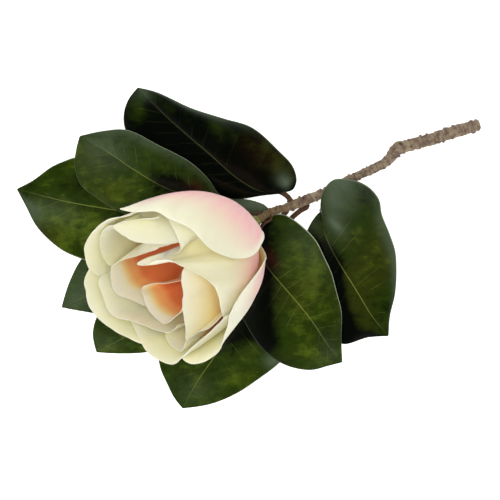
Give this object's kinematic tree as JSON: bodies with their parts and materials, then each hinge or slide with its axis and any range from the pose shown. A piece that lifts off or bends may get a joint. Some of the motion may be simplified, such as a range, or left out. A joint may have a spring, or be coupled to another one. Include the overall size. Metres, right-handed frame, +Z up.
{
  "type": "magnolia flower",
  "caption": "Cut magnolia spray lying on its leaves: half-open cream bloom with blush petal backs, glossy dark leaves and a kinked woody twig.",
  "frame": {"origin": "on the surface the spray lies on, under the middle of its box", "axes": "+X from the leaves towards the cut end of the twig, +Z up from the surface, +Y towards the leaf at the top of the picture"},
  "size_m": [0.371, 0.2566, 0.1291],
  "materials": {
    "bark": "rough grey-brown bark with knots",
    "bud_green": "matt yellow-green",
    "stamen": "matt straw",
    "petal_cream": "soft satin cream",
    "petal_blush": "soft satin cream with a blush",
    "petal_apricot": "soft satin apricot at the heart",
    "leaf": "glossy dark green with a pale midrib"
  },
  "bodies": {
    "root": {"twig": "bark", "receptacle": "bud_green", "carpel_cone": "bud_green", "stamens": "stamen", "petal_outer_low": "petal_cream", "petal_outer_top": "petal_blush", "petal_outer_right": "petal_blush", "petal_outer_left": "petal_cream", "petal_middle_low": "petal_cream", "petal_middle_left": "petal_cream", "petal_hood": "petal_cream", "petal_inner_tongue": "petal_cream", "petal_middle_under": "petal_cream", "petal_inner_top": "petal_cream", "petal_inner_left": "petal_cream", "petal_cup": "petal_apricot", "petal_inner_right": "petal_cream", "petal_spoon": "petal_apricot", "leaf_bottom": "leaf", "leaf_lower_left": "leaf", "leaf_left": "leaf", "leaf_upper_left": "leaf", "leaf_top": "leaf", "leaf_lower": "leaf", "leaf_lower_right": "leaf", "leaf_right": "leaf"}
  },
  "joints": []
}
